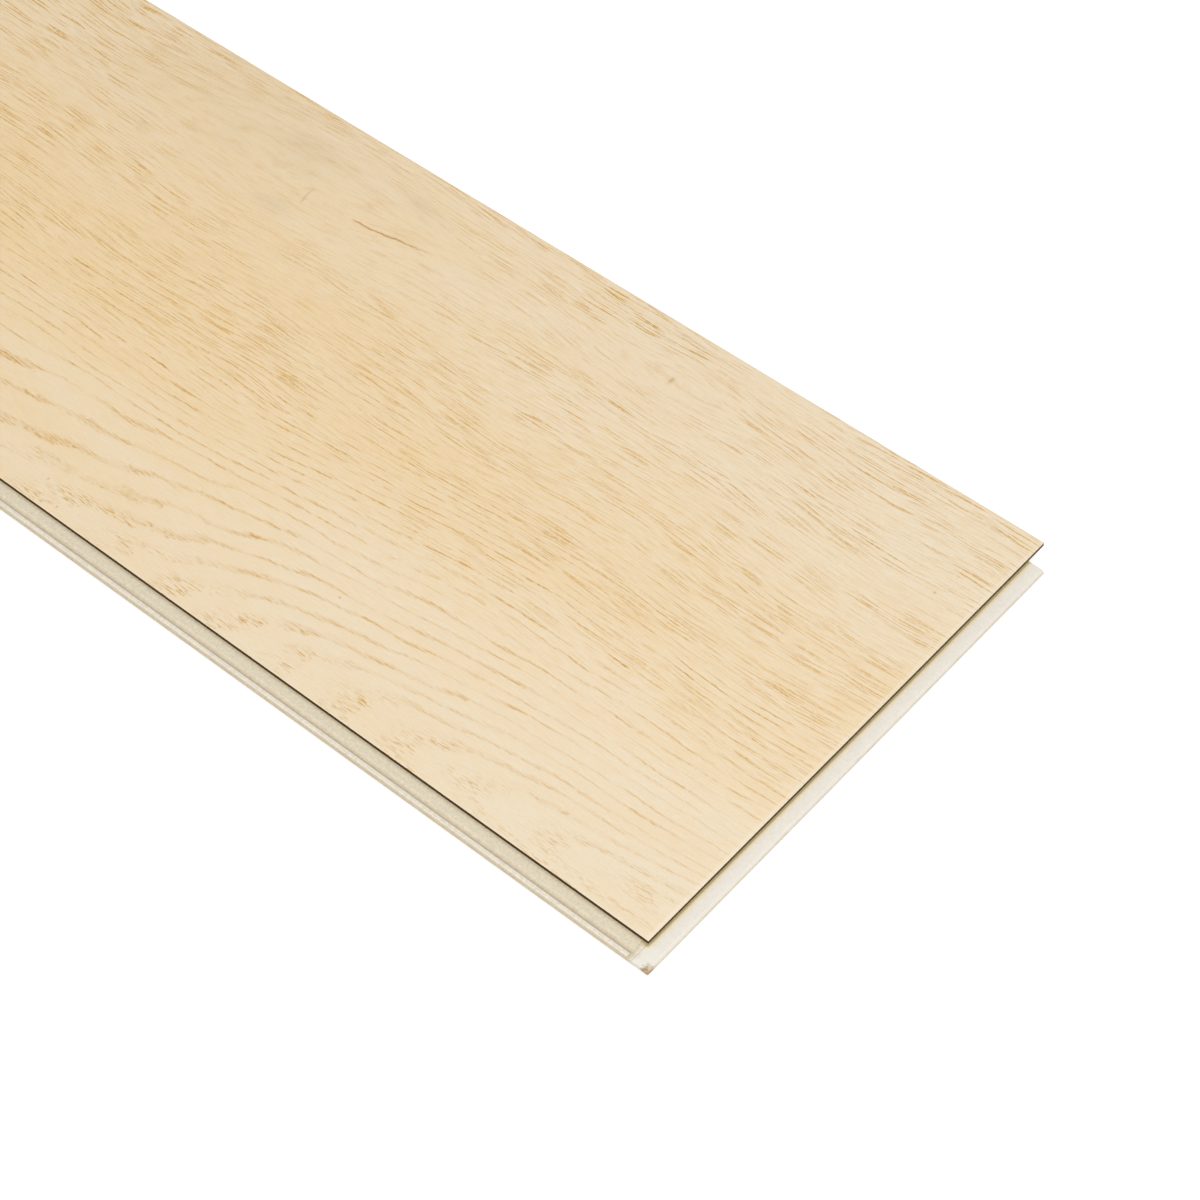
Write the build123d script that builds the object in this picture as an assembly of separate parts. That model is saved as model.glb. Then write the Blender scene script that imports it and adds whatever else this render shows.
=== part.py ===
from build123d import *
import os

# Click-together vinyl floor plank, lying face up: X along the plank, Y across it, Z up from the underside.
# The groove edges (long edge at -Y, end at +X) carry lower lips; the tongue edges are opposite.

# Printed face
FACE_LENGTH = 1220.0
FACE_WIDTH = 180.0

# Layers, from the face down
VINYL_THICKNESS = 1.5
CORE_THICKNESS = 3.5
CORK_THICKNESS = 1.5

# Eased top edges of the vinyl
END_EASE_WIDTH = 1.1
END_EASE_DEPTH = 0.2
LONG_EASE_WIDTH = 0.3
LONG_EASE_DEPTH = 0.1

# Fits between two planks
JOINT_CLEARANCE = 0.1
LIP_GAP = 0.15
EDGE_RELIEF = 0.15

# Slots and tongues, both edges
UPPER_LIP_THICKNESS = 0.45
ROOF_DROP = 0.6
ROOT_BULGE = 0.3

# Long edge: slot, then a channel with a hollow, then the locking rim
LONG_SLOT_HEIGHT = 1.45
LONG_SLOT_FLAT = 1.9
LONG_CHANNEL_FLAT = 2.3
LONG_HOLLOW_WIDTH = 1.95
LONG_HOLLOW_DEPTH = 0.35
LONG_RIM_HEIGHT = 0.57
LONG_FLANK_RUN = 0.37
LONG_RIM_WIDTH = 0.88
LONG_NOSE_RUN = 0.35
LONG_NOSE_DROP = 0.35

# End: slot with a snap hollow inside it, then a flat lip with a round nose
END_SLOT_HEIGHT = 1.75
END_ROOT_LAND = 0.375
END_HOLLOW_WIDTH = 0.85
END_HOLLOW_DEPTH = 0.2
END_MOUTH_LAND = 0.875
END_LIP_FLAT = 3.5
END_NOSE_RUN = 1.2
END_NOSE_FOOT = 0.26

# Cork stops short of the lip edges so that two backings never meet
CORK_SETBACK = 0.75

core_bottom = CORK_THICKNESS
core_top = core_bottom + CORE_THICKNESS
face_top = core_top + VINYL_THICKNESS
slot_roof = core_top - UPPER_LIP_THICKNESS
past_every_edge = FACE_LENGTH + FACE_WIDTH

# Section planes: local x points out of the groove edge, local y points up
LONG_PLANE = Plane(origin=(0, 0, 0), x_dir=(0, -1, 0), z_dir=(-1, 0, 0))
END_PLANE = Plane.XZ


class ClickEdge:
    """Sizes of one click edge, as distances out from the face edge and heights above the underside."""

    def __init__(self, face, slot_height, slot_flat, hollow_from, hollow_to, hollow_depth,
                 flank_run, rim_height, rim_width, nose_run, nose_drop):
        self.face = face
        self.floor = slot_roof - slot_height
        self.slot_flat = slot_flat
        self.slot_depth = slot_flat + ROOT_BULGE
        self.hollow_from = hollow_from
        self.hollow_to = hollow_to
        self.hollow_low = self.floor - hollow_depth
        self.rim_from = hollow_to + flank_run
        self.has_rim = rim_height > 0
        self.rim_top = self.floor + rim_height
        self.rim_to = self.rim_from + rim_width
        self.lip_reach = self.rim_to + nose_run
        self.nose_run = nose_run
        self.nose_low = self.rim_top - nose_drop
        self.cut_back = self.lip_reach + LIP_GAP

    def groove_edges(self):
        """Edge with the slot and the lower lip, drawn from the top of the core to its underside."""
        at = self.face / 2
        root = (slot_roof - ROOF_DROP + self.floor) / 2
        middle = (self.hollow_from + self.hollow_to) / 2
        short_of_corner = 1 - 0.5 ** 0.5
        nose_mid = (at + self.lip_reach - short_of_corner * self.nose_run,
                    self.rim_top - short_of_corner * (self.rim_top - self.nose_low))
        slot = Polyline(
            (at - EDGE_RELIEF, core_top),
            (at - EDGE_RELIEF, slot_roof),
            (at - self.slot_flat, slot_roof - ROOF_DROP),
        )
        round_root = ThreePointArc(slot @ 1, (at - self.slot_flat - ROOT_BULGE, root),
                                   (at - self.slot_flat, self.floor))
        floor = Line(round_root @ 1, (at + self.hollow_from, self.floor))
        hollow = ThreePointArc(floor @ 1, (at + middle, self.hollow_low), (at + self.hollow_to, self.floor))
        rise = [(at + self.rim_from, self.rim_top)] if self.has_rim else []
        rim = Polyline(hollow @ 1, *rise, (at + self.rim_to, self.rim_top))
        nose = ThreePointArc(rim @ 1, nose_mid, (at + self.lip_reach, self.nose_low))
        foot = Line(nose @ 1, (at + self.lip_reach, core_bottom))
        return [slot, round_root, floor, hollow, rim, nose, foot]

    def tongue_edges(self):
        """Opposite edge, drawn from the underside up: the groove edge's shape less the clearance."""
        at = -self.face / 2
        gap = JOINT_CLEARANCE
        seat = self.floor + gap
        tip = (slot_roof - ROOF_DROP + self.floor) / 2
        middle = (self.hollow_from + self.hollow_to) / 2
        drop = [(at + self.hollow_to - gap, seat)] if self.has_rim else []
        wall = Polyline(
            (at + self.cut_back, core_bottom),
            (at + self.cut_back, self.rim_top + gap),
            (at + self.rim_from - gap, self.rim_top + gap),
            *drop,
        )
        key = ThreePointArc(wall @ 1, (at + middle, self.hollow_low + gap), (at + self.hollow_from + gap, seat))
        under = Line(key @ 1, (at - self.slot_flat + gap, seat))
        round_tip = ThreePointArc(under @ 1, (at - self.slot_flat - ROOT_BULGE + gap, tip),
                                  (at - self.slot_flat + gap, slot_roof - ROOF_DROP - gap))
        upper = Polyline(
            round_tip @ 1,
            (at + EDGE_RELIEF, slot_roof - gap),
            (at + EDGE_RELIEF, core_top),
        )
        return [wall, key, under, round_tip, upper]

    def section(self):
        """Closed section of the core between its two edges."""
        groove = self.groove_edges()
        tongue = self.tongue_edges()
        underside = Line(groove[-1] @ 1, tongue[0] @ 0)
        top = Line(tongue[-1] @ 1, groove[0] @ 0)
        return make_face([*groove, underside, *tongue, top])


def milled(long_section, end_section):
    """Solid left by running one section along the plank and the other across it."""
    along = extrude(LONG_PLANE * long_section, amount=past_every_edge, both=True)
    across = extrude(END_PLANE * end_section, amount=past_every_edge, both=True)
    return along & across


def corner_notch(x, y, outward):
    """Room under the upper lip, outward from a point, where a tongue edge runs into a groove edge."""
    block = Box(past_every_edge, past_every_edge, slot_roof - core_bottom, align=(outward, outward, Align.MIN))
    return Pos(x, y, core_bottom) * block


def eased_sheet(face, width, depth):
    """Section of the vinyl sheet across one pair of edges, with the top edges eased."""
    half = face / 2
    return make_face(Polyline(
        (-half, core_top),
        (half, core_top),
        (half, face_top - depth),
        (half - width, face_top),
        (width - half, face_top),
        (-half, face_top - depth),
        close=True,
    ))


def backing(edge):
    """Section of the cork across one pair of edges."""
    from_tongue = -edge.face / 2 + edge.cut_back + CORK_SETBACK
    to_lip = edge.face / 2 + edge.lip_reach - CORK_SETBACK
    return make_face(Polyline(
        (from_tongue, 0),
        (to_lip, 0),
        (to_lip, core_bottom),
        (from_tongue, core_bottom),
        close=True,
    ))


long_edge = ClickEdge(
    face=FACE_WIDTH,
    slot_height=LONG_SLOT_HEIGHT,
    slot_flat=LONG_SLOT_FLAT,
    hollow_from=LONG_CHANNEL_FLAT,
    hollow_to=LONG_CHANNEL_FLAT + LONG_HOLLOW_WIDTH,
    hollow_depth=LONG_HOLLOW_DEPTH,
    flank_run=LONG_FLANK_RUN,
    rim_height=LONG_RIM_HEIGHT,
    rim_width=LONG_RIM_WIDTH,
    nose_run=LONG_NOSE_RUN,
    nose_drop=LONG_NOSE_DROP,
)
end_edge = ClickEdge(
    face=FACE_LENGTH,
    slot_height=END_SLOT_HEIGHT,
    slot_flat=END_MOUTH_LAND + END_HOLLOW_WIDTH + END_ROOT_LAND,
    hollow_from=-END_MOUTH_LAND - END_HOLLOW_WIDTH,
    hollow_to=-END_MOUTH_LAND,
    hollow_depth=END_HOLLOW_DEPTH,
    flank_run=0,
    rim_height=0,
    rim_width=END_MOUTH_LAND + END_LIP_FLAT,
    nose_run=END_NOSE_RUN,
    nose_drop=slot_roof - END_SLOT_HEIGHT - core_bottom - END_NOSE_FOOT,
)

# Corners where the end tongue crosses the long slot, and where the long tongue crosses the end slot
tongue_end_notch = corner_notch(
    end_edge.cut_back - FACE_LENGTH / 2,
    long_edge.slot_depth - FACE_WIDTH / 2,
    Align.MAX,
)
groove_end_notch = corner_notch(
    FACE_LENGTH / 2 - end_edge.slot_depth,
    FACE_WIDTH / 2 - long_edge.cut_back,
    Align.MIN,
)

nodes = {
    "vinyl_top_layer": milled(
        eased_sheet(FACE_WIDTH, LONG_EASE_WIDTH, LONG_EASE_DEPTH),
        eased_sheet(FACE_LENGTH, END_EASE_WIDTH, END_EASE_DEPTH),
    ),
    "rigid_core": milled(long_edge.section(), end_edge.section()) - tongue_end_notch - groove_end_notch,
    "cork_backing": milled(backing(long_edge), backing(end_edge)),
}

os.makedirs("parts", exist_ok=True)
for name, solid in nodes.items():
    export_step(solid, f"parts/{name}.step")
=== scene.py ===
import math

import bmesh
import bpy
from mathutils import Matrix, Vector


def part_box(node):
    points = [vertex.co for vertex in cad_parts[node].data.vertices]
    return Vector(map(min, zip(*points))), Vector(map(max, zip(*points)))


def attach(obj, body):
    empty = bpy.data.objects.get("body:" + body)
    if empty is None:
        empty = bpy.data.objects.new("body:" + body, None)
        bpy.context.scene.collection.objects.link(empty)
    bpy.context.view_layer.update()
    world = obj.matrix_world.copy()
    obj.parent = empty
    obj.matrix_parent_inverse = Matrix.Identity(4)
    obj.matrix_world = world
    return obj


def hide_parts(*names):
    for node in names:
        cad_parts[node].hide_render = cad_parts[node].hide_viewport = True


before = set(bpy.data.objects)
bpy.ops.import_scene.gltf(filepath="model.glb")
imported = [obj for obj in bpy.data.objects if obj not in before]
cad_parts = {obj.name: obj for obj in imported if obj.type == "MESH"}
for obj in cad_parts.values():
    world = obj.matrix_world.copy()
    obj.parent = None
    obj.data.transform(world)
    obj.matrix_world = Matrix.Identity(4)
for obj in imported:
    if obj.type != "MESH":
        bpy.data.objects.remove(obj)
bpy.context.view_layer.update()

bl_info = {
    "name": "Vinyl floor plank",
    "version": (1, 0, 0),
    "blender": (4, 5, 0),
    "location": "View3D > Sidebar > Plank",
    "description": "Dresses a click-together vinyl plank with an embossed oak face, and sets a plain stage",
    "category": "Object",
}

MM = 1000.0
FACE_LOW, FACE_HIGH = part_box("vinyl_top_layer")
CORE_LOW, CORE_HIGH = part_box("rigid_core")
FACE_LENGTH = (FACE_HIGH.x - FACE_LOW.x) * MM
FACE_WIDTH = (FACE_HIGH.y - FACE_LOW.y) * MM

# Places on the face are in millimetres: along from the near end, which is negative, and across from the near
# edge. A spot is a place along and across with its half length and half width.

# Knots: spot, and how far it pushes the grain aside, as a share
KNOTS = (
    (-268, 151, 66, 20, 0.75),
    (-121, 160, 22, 9, 0.80),
)

# Smoke of the large knot: the spot of a broad haze, and smaller clouds with their strength
HAZE = (-312, 166, 62, 26)
KNOT_CLOUDS = (
    (-238, 161, 8, 3.5, 0.35),
    (-283, 157, 14, 4, 0.30),
    (-265, 141, 6, 4, 0.35),
)

# Bold lines that sweep past the small knot, its pith, and the pin marks with their half size
SWEEP = (-138, 170, 36, 9)
PITH = (-123.7, 159.2, 0.7, 1.5)
PIN_MARKS = ((-239, 9), (-229, 3), (-142, 32), (-13, 144))
PIN_SIZE = 0.35

# Crack of the large knot: where it starts and fades, the place and slope of its line, and its half width
CRACK_START, CRACK_FADE = (-247, -243), (-229, -212)
CRACK_X, CRACK_Y, CRACK_SLOPE, CRACK_WIDTH = -245.7, 147.2, 0.155, 0.34

# Short crack across the grain beside it, in the same terms
SPLIT_START, SPLIT_FADE = (141, 144), (147, 151)
SPLIT_X, SPLIT_Y, SPLIT_SLOPE, SPLIT_WIDTH = -265.5, 152, 0.15, 0.4

# Belts across the face: each look comes in, or goes, between these two distances from the near edge
LEAN_FADE = (10, 50)
ARCHES_FADE = (8, 30)
THREADS_FADE = (32, 66)
PORES_FADE = (70, 110)
STREAKS_START = (45, 85)
FAR_STREAKS_START = (120, 165)
FIBRES_START = (15, 75)
SHADE_FADE = (0, 70)

# Ground of the print: how far from the near end it grows warm and its streaks bold, and the middle and half
# width of its warm belt
WARM_START = (0, 330)
BOLD_START = (220, 370)
WARM_BELT = (88, 42)

# Near corner of the face, where the pores are weaker: how it fades in along and out across
NEAR_END = (-150, 0)
NEAR_SIDE = (40, 70)

# Where along the tree's heart is at its mean depth, and the radius, softness and rate of the rings' crowding
HEART_MEAN = -115
CROWD_RADIUS, CROWD_SOFTNESS, CROWD_RATE = 66, 10, 2.2

# How far in from each end its paler strip, a painted highlight where the eased end catches the light, starts
# and is full, and how far in from the eased edges the pressing reaches its full depth
END_HIGHLIGHT_STRIP = (1.5, 0.9)
PRESS_MARGIN = 1.5

# Passes of cuts over the level top: the axis that is cut, and how many cuts each cell gets
GRID_PASSES = ((0, 13), (0, 19), (1, 16), (1, 19))

# Tolerances in metres: of a cut, of what counts as the level top, and of what runs straight along an axis
CUT_REACH = 1e-7
LEVEL_REACH = 1e-6
STRAIGHT_REACH = 2e-5

# Edges of the embossed face sharper than this stay sharp
SMOOTH_ANGLE = math.radians(25)

# Milled core, in millimetres: each look comes in, or goes, between two heights, or between two distances
# beside the long edge of the face or beyond its end
RIM_RISE = (3.15, 3.45)
LONG_LIP_START, LONG_LIP_FADE = (-1.2, -0.5), (-3.0, 0.6)
HOLLOW_SHADE_START = (1.8, 4.3)
LIP_SIDE = (5.4, 5.7)
END_SIDE = (-0.6, 0.2)
SLOT_START, SLOT_FADE = (-3.0, -2.6), (-0.55, 0.1)
NOSE_START = (3.2, 4.4)
FOOT_FADE = (1.6, 2.5)

# Painted lines on it beyond the end of the face, middle and half width: shade on the wall where the channel
# is cut off, and warm bounce light at the end lip's root
CUT_OFF_SHADE = (-2.3, 0.3)
LIP_ROOT_BOUNCE = (0.15, 0.4)

# Floor and camera, in metres, and the camera's sensor in millimetres
FLOOR_SIZE = 40
FLOOR_DROP = 0.0002
CLIP_START = 0.01
SENSOR_WIDTH = 36

# Depth of the bump in the core and the cork, in metres
CORE_RELIEF = 0.00003
CORK_RELIEF = 0.00012


def from_bytes(red, green, blue):
    """Linear colour of an 8-bit display colour."""
    return tuple(((c / 255 + 0.055) / 1.055) ** 2.4 for c in (red, green, blue))


def colour_property(name, description, red, green, blue):
    return bpy.props.FloatVectorProperty(
        name=name, description=description, subtype="COLOR", size=3, min=0, max=1,
        default=from_bytes(red, green, blue))


def length_property(name, description, millimetres):
    return bpy.props.FloatProperty(
        name=name, description=description, subtype="DISTANCE", unit="LENGTH", default=millimetres / MM,
        precision=5)


def share_property(name, description, default):
    return bpy.props.FloatProperty(
        name=name, description=description, subtype="FACTOR", min=0, max=1, default=default)


class Field:
    """A number or colour that varies over a surface; arithmetic on it adds the node that does the sum."""

    def __init__(self, graph, socket):
        self.graph = graph
        self.socket = socket

    def __add__(self, other):
        return self.graph.math("ADD", self, other)

    def __sub__(self, other):
        return self.graph.math("SUBTRACT", self, other)

    def __rsub__(self, other):
        return self.graph.math("SUBTRACT", other, self)

    def __mul__(self, other):
        return self.graph.math("MULTIPLY", self, other)

    def __truediv__(self, other):
        return self.graph.math("DIVIDE", self, other)

    __radd__ = __add__


class Graph:
    """A node tree of a material or of a modifier, built from short expressions."""

    def __init__(self, tree):
        self.tree = tree

    def node(self, kind, **settings):
        made = self.tree.nodes.new(kind)
        for name, value in settings.items():
            setattr(made, name, value)
        return made

    def put(self, socket, value):
        if isinstance(value, Field):
            self.tree.links.new(value.socket, socket)
        elif socket.type == "RGBA":
            socket.default_value = (*value[:3], 1)
        else:
            socket.default_value = value

    def math(self, operation, *values):
        made = self.node("ShaderNodeMath", operation=operation)
        for socket, value in zip(made.inputs, values):
            self.put(socket, value)
        return Field(self, made.outputs[0])

    def larger(self, first, second):
        return self.math("MAXIMUM", first, second)

    def step(self, low, high, value):
        """0 below low, 1 above high, smooth between."""
        made = self.node("ShaderNodeMapRange", interpolation_type="SMOOTHSTEP")
        self.put(made.inputs["Value"], value)
        self.put(made.inputs["From Min"], low)
        self.put(made.inputs["From Max"], high)
        return Field(self, made.outputs[0])

    def bell(self, value, centre, half):
        """1 at centre, falling smoothly to almost nothing two halves away."""
        away = (value - centre) / half
        return self.math("EXPONENT", away * away * -1)

    def vector(self, x, y, z=0.0):
        made = self.node("ShaderNodeCombineXYZ")
        for socket, value in zip(made.inputs, (x, y, z)):
            self.put(socket, value)
        return Field(self, made.outputs[0])

    def spot(self, x, y, centre_x, centre_y, half_length, half_width):
        """1 at a place on the face, falling off along and across it."""
        return self.bell(x, centre_x, half_length) * self.bell(y, centre_y, half_width)

    def noise(self, x, y, z=None, seed=0, detail=1.0):
        """Noise round a half, with grains about one unit across, over a plane or through a solid."""
        made = self.node("ShaderNodeTexNoise", noise_dimensions="2D" if z is None else "3D")
        self.put(made.inputs["Vector"], self.vector(x, y + seed if seed else y, z or 0.0))
        self.put(made.inputs["Scale"], 1.0)
        self.put(made.inputs["Detail"], detail)
        return Field(self, made.outputs[0])

    def cells(self, x, y, z):
        """Distance to the nearest of many scattered points, and a number of that point's own."""
        made = self.node("ShaderNodeTexVoronoi")
        self.put(made.inputs["Vector"], self.vector(x, y, z))
        self.put(made.inputs["Scale"], 1.0)
        split = self.node("ShaderNodeSeparateColor")
        self.tree.links.new(made.outputs["Color"], split.inputs[0])
        return Field(self, made.outputs["Distance"]), Field(self, split.outputs[0])

    def mix(self, share, first, second):
        made = self.node("ShaderNodeMix", data_type="RGBA", clamp_factor=True)
        self.put(made.inputs[0], share)
        self.put(made.inputs[6], first)
        self.put(made.inputs[7], second)
        return Field(self, made.outputs[2])

    def brighten(self, colour, amount):
        """Colour times a number."""
        made = self.node("ShaderNodeVectorMath", operation="SCALE")
        self.put(made.inputs[0], colour)
        self.put(made.inputs["Scale"], amount)
        return Field(self, made.outputs[0])

    def parts(self, node, output):
        """The three numbers of a node's vector."""
        split = self.node("ShaderNodeSeparateXYZ")
        self.tree.links.new(node.outputs[output], split.inputs[0])
        return [Field(self, socket) for socket in split.outputs]

    def place(self):
        """The piece's own coordinates, in millimetres."""
        if self.tree.type == "GEOMETRY":
            found = self.parts(self.node("GeometryNodeInputPosition"), "Position")
        else:
            found = self.parts(self.node("ShaderNodeTexCoord"), "Object")
        return [number * MM for number in found]

    def upward(self):
        """How far the surface faces up: 1 is level."""
        return self.parts(self.node("ShaderNodeNewGeometry"), "True Normal")[2]


def new_material(name):
    material = bpy.data.materials.new(name)
    material.use_nodes = True
    material.node_tree.nodes.clear()
    return material


def finish_material(material, g, colour, roughness, height, depth, specular):
    """Principled surface, with a relief of that depth in metres under a height from 0 to 1."""
    shader = g.node("ShaderNodeBsdfPrincipled")
    g.put(shader.inputs["Base Color"], colour)
    g.put(shader.inputs["Roughness"], roughness)
    g.put(shader.inputs["Specular IOR Level"], specular)
    bump = g.node("ShaderNodeBump")
    g.put(bump.inputs["Height"], height)
    bump.inputs["Distance"].default_value = depth
    bump.inputs["Strength"].default_value = 1.0
    g.tree.links.new(bump.outputs[0], shader.inputs["Normal"])
    out = g.node("ShaderNodeOutputMaterial")
    g.tree.links.new(shader.outputs[0], out.inputs["Surface"])
    return material


class PrintedFaceSettings(bpy.types.PropertyGroup):
    """Oak print on the vinyl, its pressed relief and the vinyl's cut edge."""

    pale: colour_property("Pale oak", "Palest ground of the print", 237, 221, 194)
    warm: colour_property("Warm oak", "Warmest ground of the print", 237, 209, 163)
    ink: colour_property("Pores", "Brown of the pores and streaks", 201, 147, 16)
    smoke: colour_property("Smoky knot", "Smoky cast over the large knot", 214, 190, 153)
    crack: colour_property("Knot cracks", "Dark lines inside the knots", 184, 130, 24)
    # Painted highlight: paler strip along each eased end, where the eased edge catches the light
    eased: colour_property("Eased end", "Paler strip where the end is eased", 240, 228, 206)
    edge: colour_property("Cut edge", "Dark vinyl seen at the cut edges", 70, 50, 16)
    ring_spacing: length_property("Ring spacing", "Distance between growth rings in the arches", 4.3)
    arch_axis: length_property("Arch axis", "Distance of the middle of the arches from the near edge", 3.0)
    arch_drift: length_property("Arch drift", "How far that middle wanders along the plank", 14.0)
    arch_depth: length_property("Arch depth", "Mean depth of the tree's heart below the face", 22.0)
    arch_swing: length_property("Arch swing", "How much that depth rises and falls along the plank", 26.0)
    arch_period: length_property("Arch period", "Length over which that depth repeats", 900.0)
    end_ease_width: length_property("End ease width", "Width of the eased end", 1.1)
    end_ease_depth: length_property("End ease depth", "Fall of the eased end", 0.2)
    long_ease_width: length_property("Long ease width", "Width of the eased long edge", 0.3)
    long_ease_depth: length_property("Long ease depth", "Fall of the eased long edge", 0.1)
    emboss: length_property("Emboss", "Depth of the grain pressed into the face", 0.07)
    fine_relief: length_property("Fine relief", "Depth of the pores inside that grain", 0.03)


class CoreSettings(bpy.types.PropertyGroup):
    """Milled rigid core."""

    board: colour_property("Board", "Milled off-white core", 236, 231, 220)
    # Painted shade: the channel of the long lip, darker and yellower than the board, for the face's shadow
    # over it
    channel: colour_property("Channel", "Burnished channel of the long lip", 224, 214, 191)
    # Painted shade: darker still in the hollow beside the rim, and on the wall where the channel is cut off
    hollow: colour_property("Hollow", "Dust in the hollow beside the rim", 206, 191, 163)
    # Painted shade: the rim's top a little darker than the board
    rim: colour_property("Rim", "Top of the rim of the long lip", 228, 219, 203)
    mouth: colour_property("Slot mouth", "Olive shade at the root of the end lip", 206, 190, 142)
    # Painted bounce light: warm line on the end lip where it comes out from under the face
    root: colour_property("Lip root", "Warm line where the end lip comes out of its slot", 246, 226, 186)
    # Painted light: lightens the outer side of the long lip against the shade it gets
    side: colour_property("Lip side", "Outer side of the long lip", 234, 222, 196)
    # Also painted shade, weakly, over the end lip's rounded nose
    foot: colour_property("Foot", "Tan line along the foot of both lips", 204, 178, 132)
    bruise: colour_property("Bruise", "Brown bruise on the near lip corner", 158, 122, 50)
    bruise_size: length_property("Bruise size", "Reach of the bruise from the corner", 4.4)


class CorkSettings(bpy.types.PropertyGroup):
    """Agglomerated cork backing."""

    light: colour_property("Light granules", "Palest cork granules", 199, 153, 101)
    dark: colour_property("Dark granules", "Darkest cork granules", 139, 94, 53)
    granule: length_property("Granule size", "Typical cork granule", 1.1)


class StageSettings(bpy.types.PropertyGroup):
    """Floor, light and camera."""

    floor: share_property("Floor tone", "How much light the pale floor gives back", 0.78)
    glow: share_property("Floor lift", "Brightness added to the floor where the camera sees it", 0.5)
    sky: share_property("Sky light", "Even light from all round", 0.46)
    key_power: bpy.props.FloatProperty(
        name="Key light", description="Large soft lamp beside the camera", subtype="POWER", unit="POWER",
        default=32.0)
    key_size: length_property("Key size", "Side of the square lamp", 1800.0)
    key_place: bpy.props.FloatVectorProperty(
        name="Key place", description="Where the lamp hangs", subtype="TRANSLATION", unit="LENGTH", size=3,
        default=(1.15, -0.75, 1.75))
    key_target: bpy.props.FloatVectorProperty(
        name="Key target", description="Where the lamp points", subtype="TRANSLATION", unit="LENGTH", size=3,
        default=(0.35, 0.0, 0.0))
    lens: bpy.props.FloatProperty(
        name="Lens", description="Focal length", subtype="DISTANCE_CAMERA", unit="CAMERA", default=92.16)
    eye: bpy.props.FloatVectorProperty(
        name="Camera place", description="Where the camera stands", subtype="TRANSLATION", unit="LENGTH",
        size=3, default=(0.88494, -0.43268, 0.69106))
    turn: bpy.props.FloatVectorProperty(
        name="Camera turn", description="Tilt up from straight down, roll and heading", subtype="EULER",
        unit="ROTATION", size=3, default=(math.radians(39.0144), 0.0, math.radians(40.3993)))


class OakFigure:
    """The oak figure as fields over the face, for its print and its relief alike."""

    def __init__(self, g, settings):
        self.g = g
        along, across, self.height = g.place()
        x = self.x = along - FACE_HIGH.x * MM
        y = self.y = across - FACE_LOW.y * MM

        # The grain runs along x, wanders a little and swings round the knots
        flow = y + (self.straight(130, 55) - 0.5) * 11 + (self.straight(18, 5, seed=1300) - 0.5) * 1.3
        knotty = None
        for knot_x, knot_y, half_length, half_width, push in KNOTS:
            near = g.spot(x, y, knot_x, knot_y, half_length, half_width)
            flow = flow - (y - knot_y) * near * push
            knotty = near if knotty is None else knotty + near
        self.flow = flow
        self.calm = 1 - g.math("MINIMUM", knotty * 2.2, 1) * 0.78

        # Pores: short dashes stacked across the broad arches, threads along the straight rings further up
        up = g.step(*ARCHES_FADE, y)
        ring = self.rings(settings)
        band = g.step(0.0, 0.06, ring) * (1 - g.step(0.12, 0.75 - up * 0.47, ring))
        short = g.step(0.53, 0.63, self.straight(4.2, 0.36, seed=100))
        long = g.step(0.43, 0.58, self.grain(14, 0.5, seed=200))
        long = g.larger(long, 0.38 - g.step(*THREADS_FADE, y) * 0.38)
        weight = g.step(0.34, 0.66, self.grain(40, 5, seed=300)) * 0.68 + 0.32
        frayed = g.step(0.28, 0.58, self.straight(1.7, 0.45, seed=1100)) * 0.6 + 0.4
        pores = (short + (long - short) * up) * band * weight * frayed * (1 - g.step(*PORES_FADE, y) * 0.6)
        near_corner = g.step(*NEAR_END, x) * (1 - g.step(*NEAR_SIDE, y))
        self.pores = pores * self.calm * (1 - near_corner * 0.3)

        # Streaks: long thin lines in patches, where the grain is straight, and bolder past the small knot
        patch = g.step(0.30, 0.60, self.straight(70, 9, seed=400)) * 0.8 + 0.2
        streaks = g.step(0.53, 0.67, self.grain(17, 0.5, seed=500, detail=1.5))
        rise = g.step(*STREAKS_START, y) + g.step(*FAR_STREAKS_START, y) * 0.35
        sweep = g.spot(x, y, *SWEEP)
        self.streaks = streaks * g.larger(patch, sweep) * frayed * (rise + sweep * 0.8) * self.calm

    def straight(self, length, width, seed=0, detail=1.0):
        """Noise with grains of that length and width in millimetres, along the plank."""
        return self.g.noise(self.x / length, self.y / width, seed=seed, detail=detail)

    def grain(self, length, width, seed, detail=1.0):
        """The same noise, bent with the grain."""
        return self.g.noise(self.x / length, self.flow / width, seed=seed, detail=detail)

    def rings(self, settings):
        """Growth rings, from 0 to 1 across each, by distance from the tree's heart.

        The heart's depth below the face rises and falls along the plank. Far from it the rings crowd.
        """
        g = self.g
        turn = 2 * math.pi / (settings.arch_period * MM)
        swing = g.math("SINE", (self.x - HEART_MEAN) * turn)
        heart = settings.arch_depth * MM - swing * (settings.arch_swing * MM)
        lean = swing * (settings.arch_drift * MM) * (1 - g.step(*LEAN_FADE, self.y))
        side = self.flow - settings.arch_axis * MM - lean
        radius = g.math("SQRT", side * side + heart * heart)
        past = g.math("EXPONENT", (radius - CROWD_RADIUS) / CROWD_SOFTNESS) + 1
        crowding = g.math("LOGARITHM", past, math.e) * CROWD_RATE
        ripple = (self.grain(45, 7, seed=50, detail=1.5) - 0.5) * 0.8
        ripple = ripple + (self.straight(2.4, 0.5, seed=150) - 0.5) * 0.22
        return g.math("FRACT", radius / (settings.ring_spacing * MM) + crowding + ripple)


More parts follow.
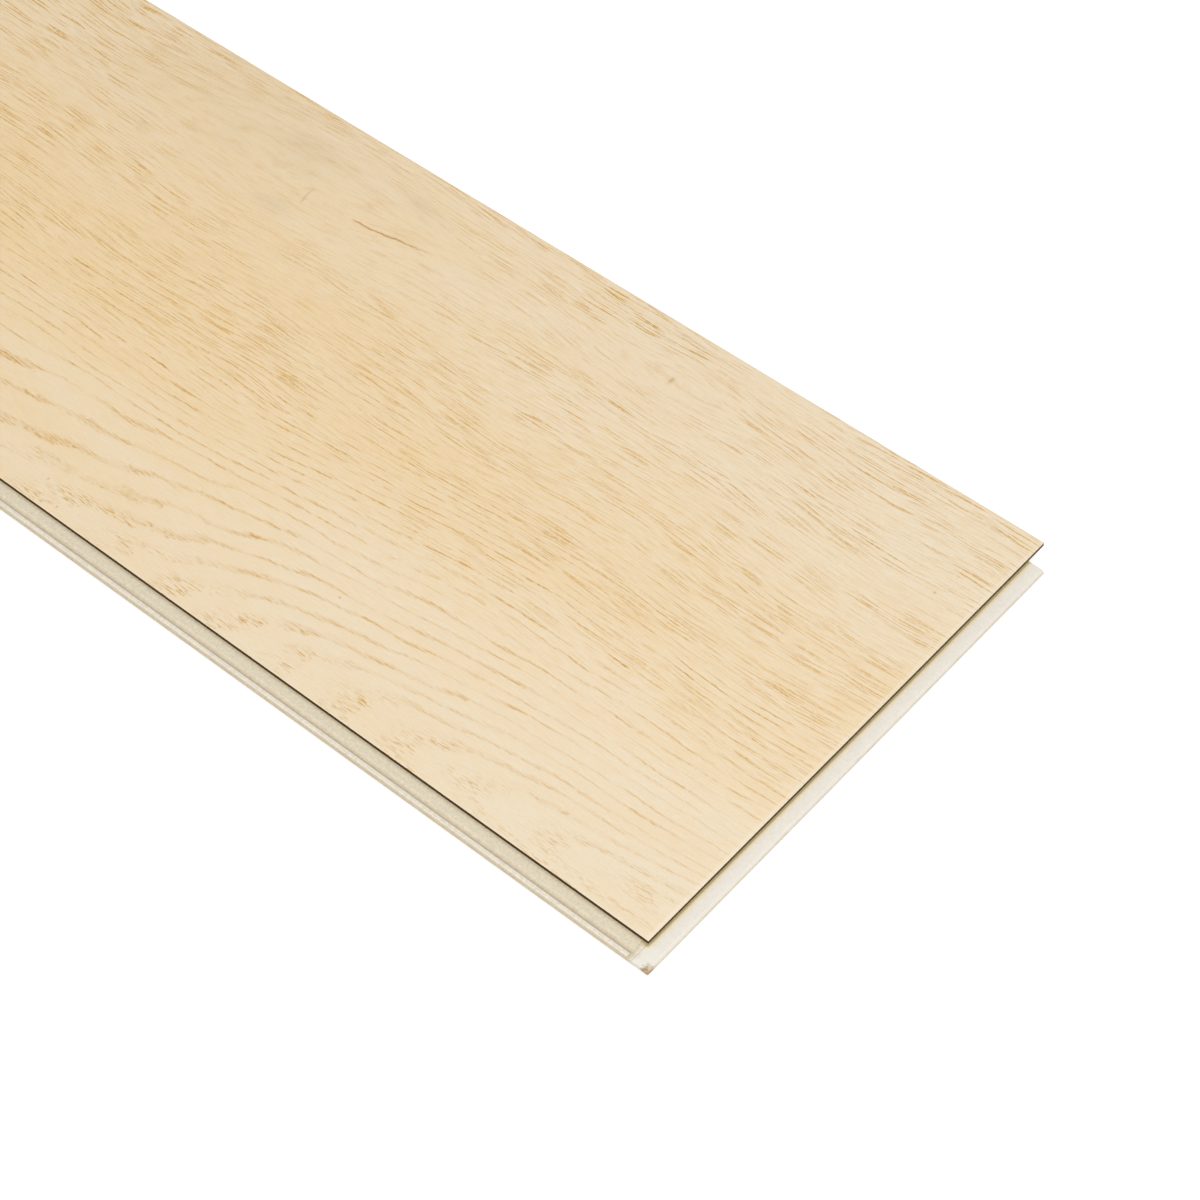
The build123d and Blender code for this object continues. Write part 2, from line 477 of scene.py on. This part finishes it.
class PLANK_OT_vinyl_top_layer(bpy.types.Operator):
    """Model the vinyl layer with its pressed oak grain, and print it"""

    bl_idname = "plank.vinyl_top_layer"
    bl_label = "Vinyl top layer"

    def execute(self, context):
        settings = context.scene.plank_print
        sheet = self.eased_sheet(settings)
        self.cut_grid(sheet)
        self.press_grain(sheet, settings)
        sheet.data.materials.append(self.oak_print(settings))
        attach(sheet, "root")
        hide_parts("vinyl_top_layer")
        return {"FINISHED"}

    def eased_sheet(self, settings):
        """The sheet as a block with its four top edges planed off."""
        bpy.ops.object.select_all(action="DESELECT")
        middle = (FACE_LOW + FACE_HIGH) / 2
        bpy.ops.mesh.primitive_cube_add(size=1, location=middle, scale=FACE_HIGH - FACE_LOW)
        sheet = bpy.context.object
        sheet.name = "embossed_vinyl_face"
        bpy.ops.object.transform_apply(location=True, rotation=True, scale=True)
        bpy.ops.object.mode_set(mode="EDIT")
        ends = (settings.end_ease_width, settings.end_ease_depth)
        sides = (settings.long_ease_width, settings.long_ease_depth)
        for axis, (width, depth) in ((0, ends), (1, sides)):
            for corner, outward in ((FACE_LOW, -1), (FACE_HIGH, 1)):
                start = Vector((0, 0, FACE_HIGH.z))
                start[axis] = corner[axis] - outward * width
                normal = Vector((0, 0, width))
                normal[axis] = outward * depth
                bpy.ops.mesh.select_all(action="SELECT")
                bpy.ops.mesh.bisect(
                    plane_co=start, plane_no=normal.normalized(), use_fill=True, clear_outer=True,
                    threshold=CUT_REACH)
        return sheet

    def cut_grid(self, sheet):
        """Cuts the level top into cells that are long with the grain and narrow across it."""
        bpy.ops.mesh.select_mode(type="EDGE")
        for axis, cuts in GRID_PASSES:
            bpy.ops.mesh.select_all(action="DESELECT")
            mesh = bmesh.from_edit_mesh(sheet.data)
            for edge in mesh.edges:
                first, second = [corner.co for corner in edge.verts]
                level = min(first.z, second.z) > FACE_HIGH.z - LEVEL_REACH
                straight = abs(first[1 - axis] - second[1 - axis]) < STRAIGHT_REACH
                edge.select_set(level and straight)
            bmesh.update_edit_mesh(sheet.data)
            bpy.ops.mesh.subdivide(number_cuts=cuts)
        bpy.ops.object.mode_set(mode="OBJECT")

    def press_grain(self, sheet, settings):
        """Presses pores and streaks into the level top, in register with the print."""
        tree = bpy.data.node_groups.new("pressed_grain", "GeometryNodeTree")
        tree.interface.new_socket("Geometry", in_out="INPUT", socket_type="NodeSocketGeometry")
        tree.interface.new_socket("Geometry", in_out="OUTPUT", socket_type="NodeSocketGeometry")
        g = Graph(tree)
        figure = OakFigure(g, settings)
        half_length, half_width = FACE_LENGTH / 2, FACE_WIDTH / 2
        end_room = half_length - settings.end_ease_width * MM - g.math("ABSOLUTE", figure.x + half_length)
        side_room = half_width - settings.long_ease_width * MM - g.math("ABSOLUTE", figure.y - half_width)
        inside = g.step(0.0, PRESS_MARGIN, g.math("MINIMUM", end_room, side_room))
        top = g.math("GREATER_THAN", figure.height, (FACE_HIGH.z - LEVEL_REACH) * MM)
        sunk = g.larger(figure.pores, figure.streaks) * inside * top
        move = g.node("GeometryNodeSetPosition")
        g.put(move.inputs["Offset"], g.vector(0.0, 0.0, sunk * -settings.emboss))
        tree.links.new(g.node("NodeGroupInput").outputs[0], move.inputs["Geometry"])
        tree.links.new(move.outputs[0], g.node("NodeGroupOutput").inputs[0])
        modifier = sheet.modifiers.new("pressed_grain", "NODES")
        modifier.node_group = tree
        bpy.ops.object.modifier_apply(modifier=modifier.name)
        bpy.ops.object.shade_smooth_by_angle(angle=SMOOTH_ANGLE)

    def oak_print(self, settings):
        """Pale oak print on the face, with dark vinyl on the cut sides."""
        material = new_material("printed_vinyl")
        g = Graph(material.node_tree)
        figure = OakFigure(g, settings)
        x, y, flow = figure.x, figure.y, figure.flow

        # Ground: warmer away from the near end and in a belt along the middle, smoky over the large knot
        cloud = figure.grain(60, 13, seed=600, detail=2.0) - 0.5
        fibre = figure.grain(6, 0.34, seed=800, detail=1.5) - 0.5
        fibre = fibre * figure.calm * (g.step(*FIBRES_START, y) * 0.5 + 0.5)
        grit = figure.straight(0.9, 0.6, seed=1000) - 0.5
        warmth = g.step(*WARM_START, x * -1) * 0.42 + g.bell(y, *WARM_BELT) * 0.42 + 0.08
        warmth = warmth + cloud * 0.6 + fibre * 1.2 + grit * 0.9
        colour = g.mix(warmth, settings.pale, settings.warm)
        wisps = g.step(0.42, 0.78, figure.grain(24, 2.5, seed=700, detail=2.0))
        smoke = g.spot(x, y, *HAZE) * (wisps * 0.35 + 0.16)
        for *place, share in KNOT_CLOUDS:
            smoke = smoke + g.spot(x + flow - y, flow, *place) * share
        colour = g.mix(smoke, colour, settings.smoke)

        # Ink: fine fibres all over, curled flecks in the knots, then streaks and pores
        flecks = g.step(0.48, 0.82, figure.grain(8, 1.1, seed=1200, detail=3.0)) * (1 - figure.calm)
        bold = g.step(*BOLD_START, x * -1) * 0.10 + 0.55
        ink = fibre * 0.24 + flecks * 0.22 + figure.streaks * bold + figure.pores * 0.80 + 0.02
        colour = g.mix(ink, colour, settings.ink)
        # Painted shade: the print a little darker towards the near edge
        shade = g.step(*SHADE_FADE, y) * 0.015 + 0.985
        colour = g.brighten(colour, grit * 0.14 + shade)
        colour = g.mix(self.cracks(g, figure), colour, settings.crack)

        # Painted highlight: paler strip along the eased ends; dark cut sides
        half = FACE_LENGTH / 2
        fade, full = END_HIGHLIGHT_STRIP
        ends = g.step(half - fade, half - full, g.math("ABSOLUTE", x + half))
        colour = g.mix(ends * 0.4, colour, settings.eased)
        level = g.step(0.5, 0.8, g.upward())
        colour = g.mix(level, settings.edge, colour)

        height = fibre * 0.3 - g.larger(figure.pores, figure.streaks * 0.8)
        roughness = figure.pores * 0.12 + 0.48
        gloss = level * 0.27 + 0.08
        return finish_material(material, g, colour, roughness, height, settings.fine_relief, specular=gloss)

    def cracks(self, g, figure):
        """Two cracks of the large knot, the pith of the small one, and the pin marks."""
        x, y = figure.x, figure.y
        wobble = (figure.straight(5, 5, seed=900, detail=3.0) - 0.5) * 2.0
        run = g.step(*CRACK_START, x) * (1 - g.step(*CRACK_FADE, x))
        line = CRACK_Y + (x - CRACK_X) * CRACK_SLOPE + wobble
        marks = run * g.bell(y, line, CRACK_WIDTH) * 0.85
        drop = g.step(*SPLIT_START, y) * (1 - g.step(*SPLIT_FADE, y))
        line = SPLIT_X + (SPLIT_Y - y) * SPLIT_SLOPE + wobble * 0.8
        marks = g.larger(marks, drop * g.bell(x, line, SPLIT_WIDTH) * 0.3)
        marks = g.larger(marks, g.spot(x, y, *PITH) * 0.5)
        for place in PIN_MARKS:
            marks = g.larger(marks, g.spot(x, y, *place, PIN_SIZE, PIN_SIZE) * 0.6)
        return marks


def dress(node, material):
    """Gives a CAD node one material."""
    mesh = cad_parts[node].data
    mesh.materials.clear()
    mesh.materials.append(material)


class PLANK_OT_rigid_core(bpy.types.Operator):
    """Finish the milled core"""

    bl_idname = "plank.rigid_core"
    bl_label = "Rigid core"

    def execute(self, context):
        dress("rigid_core", self.milled_board(context.scene.plank_core))
        return {"FINISHED"}

    def milled_board(self, settings):
        """Off-white milled core, with painted shade and light on its lips, tan feet, and a bruise at the
        near corner.
        """
        material = new_material("core")
        g = Graph(material.node_tree)
        x, y, z = g.place()
        mottle = g.noise(x / 3.5, y / 3.5, z / 3.5, detail=3.0) - 0.5
        speckle = g.noise(x / 0.8, y / 0.8, z / 0.8) - 0.5
        cutter = g.noise(x / 60, y / 0.25, z / 0.25) - 0.5
        beside = FACE_LOW.y * MM - y
        beyond = x - FACE_HIGH.x * MM

        # Long lip: painted shade over its channel, hollow and rim, fading out at the near end, where the
        # end's milling cuts it off
        low = 1 - g.step(*RIM_RISE, z)
        long_lip = g.step(*LONG_LIP_START, beside) * (1 - g.step(*LONG_LIP_FADE, beyond + mottle * 3))
        shaded_lip_colour = g.mix(g.step(*HOLLOW_SHADE_START, beside) * 0.95, settings.channel, settings.hollow)
        shaded_lip_colour = g.mix(low, settings.rim, shaded_lip_colour)
        colour = g.mix(long_lip, settings.board, shaded_lip_colour)
        # Painted shade on the wall where the end's milling cuts the channel off
        cut_off_shade = g.bell(beyond, *CUT_OFF_SHADE) * g.step(0.0, 0.5, beside)
        colour = g.mix(cut_off_shade * 0.35, colour, settings.hollow)

        # End lip: painted warm bounce light at its root and painted shade in the slot mouth; then the long
        # lip's side, lightened as painted light, and the tan feet of both
        under = 1 - g.step(*END_SIDE, beside)
        mouth = g.step(*SLOT_START, beyond) * (1 - g.step(*SLOT_FADE, beyond)) * under
        # Painted bounce light: a warm line on the end lip just past the face's end
        colour = g.mix(g.bell(beyond, *LIP_ROOT_BOUNCE) * under * 0.6, colour, settings.root)
        colour = g.mix(mouth, colour, settings.mouth)
        # Painted light: the outer side of the long lip lightened against its shade
        side = g.step(*LIP_SIDE, beside) * long_lip
        colour = g.mix(side * 0.5, colour, settings.side)
        nose = g.step(*NOSE_START, beyond)
        bottom = 1 - g.step(*FOOT_FADE, z + mottle * 1.2)
        # Painted shade: nose * 0.12 dulls the light on the end lip's rounded nose with the foot's tan
        foot = g.larger(nose * 0.4, side) * bottom * 0.75 + nose * 0.12
        colour = g.mix(foot, colour, settings.foot)
        specks = speckle * (long_lip * 0.26 + 0.12)
        colour = g.brighten(colour, mottle * 0.06 + specks + cutter * 0.04 + 1.0)

        # Bruise at the near lip corner
        corner = Vector((CORE_HIGH.x, CORE_LOW.y, CORE_LOW.z)) * MM
        dx, dy, dz = x - corner.x, y - corner.y, z - corner.z
        away = g.math("SQRT", dx * dx + dy * dy + dz * dz)
        torn = g.noise(x / 0.5, y / 0.5, z / 0.5, detail=2.0) * 3
        size = settings.bruise_size * MM
        bruise = 1 - g.step(size * 0.75, size * 1.1, away + torn)
        crumbs = g.step(0.38, 0.58, g.noise(x / 0.7, y / 0.7, z / 0.7 + 5))
        colour = g.mix(bruise * (crumbs * 0.5 + 0.42), colour, settings.bruise)
        return finish_material(material, g, colour, 0.68, cutter + mottle * 0.5, CORE_RELIEF, specular=0.25)


class PLANK_OT_cork_backing(bpy.types.Operator):
    """Finish the cork backing"""

    bl_idname = "plank.cork_backing"
    bl_label = "Cork backing"

    def execute(self, context):
        dress("cork_backing", self.cork_granules(context.scene.plank_cork))
        return {"FINISHED"}

    def cork_granules(self, settings):
        """Fine agglomerated cork."""
        material = new_material("cork")
        g = Graph(material.node_tree)
        x, y, z = g.place()
        size = settings.granule * MM
        distance, tone = g.cells(x / size, y / size, z / size)
        fine = g.noise(x / 0.4, y / 0.4, z / 0.4, detail=2.0)
        seams = g.step(0.35, 0.75, distance)
        colour = g.mix(tone * 0.7 + fine * 0.5 - 0.1, settings.dark, settings.light)
        colour = g.mix(seams * 0.45, colour, settings.dark)
        return finish_material(material, g, colour, 0.85, fine * 0.4 - seams, CORK_RELIEF, specular=0.15)


class PLANK_OT_stage(bpy.types.Operator):
    """Lay the floor, light it and set the camera"""

    bl_idname = "plank.stage"
    bl_label = "Stage"

    def execute(self, context):
        settings = context.scene.plank_stage
        self.lay_floor(settings)
        self.light(context.scene, settings)
        self.aim_camera(context.scene, settings)
        context.scene.view_settings.view_transform = "Standard"
        return {"FINISHED"}

    def seen(self, tree):
        """1 for light that reaches the camera straight, or by way of a gloss or glass."""
        g = Graph(tree)
        path = g.node("ShaderNodeLightPath")
        straight, gloss, glass = [Field(g, path.outputs[f"Is {kind} Ray"])
                                  for kind in ("Camera", "Glossy", "Transmission")]
        return g, g.larger(straight, g.larger(gloss, glass))

    def lay_floor(self, settings):
        bpy.ops.object.select_all(action="DESELECT")
        bpy.ops.mesh.primitive_plane_add(size=FLOOR_SIZE, location=(0, 0, -FLOOR_DROP))
        floor = bpy.context.object
        floor.name = "floor"
        material = bpy.data.materials.new("pale_floor")
        material.use_nodes = True
        shader = material.node_tree.nodes["Principled BSDF"]
        shader.inputs["Base Color"].default_value = (settings.floor, settings.floor, settings.floor, 1)
        shader.inputs["Roughness"].default_value = 0.9
        shader.inputs["Specular IOR Level"].default_value = 0.0
        shader.inputs["Emission Color"].default_value = (1, 1, 1, 1)
        g, seen = self.seen(material.node_tree)
        g.put(shader.inputs["Emission Strength"], seen * settings.glow)
        floor.data.materials.append(material)

    def light(self, scene, settings):
        scene.world = bpy.data.worlds.new("studio")
        scene.world.use_nodes = True
        back = scene.world.node_tree.nodes["Background"]
        back.inputs["Color"].default_value = (1, 1, 1, 1)
        g, seen = self.seen(scene.world.node_tree)
        g.put(back.inputs["Strength"], seen * (1 - settings.sky) + settings.sky)
        lamp = bpy.data.lights.new("key", "AREA")
        lamp.size = settings.key_size
        lamp.energy = settings.key_power
        key = bpy.data.objects.new("key", lamp)
        scene.collection.objects.link(key)
        key.location = settings.key_place
        aim = Vector(settings.key_target) - key.location
        key.rotation_euler = aim.to_track_quat("-Z", "Y").to_euler()

    def aim_camera(self, scene, settings):
        camera = bpy.data.cameras.new("camera")
        camera.sensor_fit = "HORIZONTAL"
        camera.sensor_width = SENSOR_WIDTH
        camera.lens = settings.lens
        camera.clip_start = CLIP_START
        eye = bpy.data.objects.new("camera", camera)
        scene.collection.objects.link(eye)
        eye.location = settings.eye
        eye.rotation_euler = settings.turn
        scene.camera = eye


class VIEW3D_PT_plank(bpy.types.Panel):
    """Lists the plank's pieces and their settings"""

    bl_idname = "VIEW3D_PT_plank"
    bl_label = "Vinyl floor plank"
    bl_space_type = "VIEW_3D"
    bl_region_type = "UI"
    bl_category = "Plank"

    def draw(self, context):
        for name, operator in zip(SETTINGS, PIECES):
            box = self.layout.box()
            box.operator(operator.bl_idname)
            settings = getattr(context.scene, name)
            for prop in settings.bl_rna.properties:
                if prop.identifier not in ("rna_type", "name"):
                    box.prop(settings, prop.identifier)


PIECES = (PLANK_OT_vinyl_top_layer, PLANK_OT_rigid_core, PLANK_OT_cork_backing, PLANK_OT_stage)
SETTINGS = {
    "plank_print": PrintedFaceSettings,
    "plank_core": CoreSettings,
    "plank_cork": CorkSettings,
    "plank_stage": StageSettings,
}
CLASSES = (*SETTINGS.values(), *PIECES, VIEW3D_PT_plank)


def register():
    for cls in CLASSES:
        bpy.utils.register_class(cls)
    for name, cls in SETTINGS.items():
        setattr(bpy.types.Scene, name, bpy.props.PointerProperty(type=cls))


def unregister():
    for name in SETTINGS:
        delattr(bpy.types.Scene, name)
    for cls in reversed(CLASSES):
        bpy.utils.unregister_class(cls)


def main():
    register()
    bpy.ops.plank.vinyl_top_layer()
    bpy.ops.plank.rigid_core()
    bpy.ops.plank.cork_backing()
    bpy.ops.plank.stage()


if __name__ == "__main__":
    main()
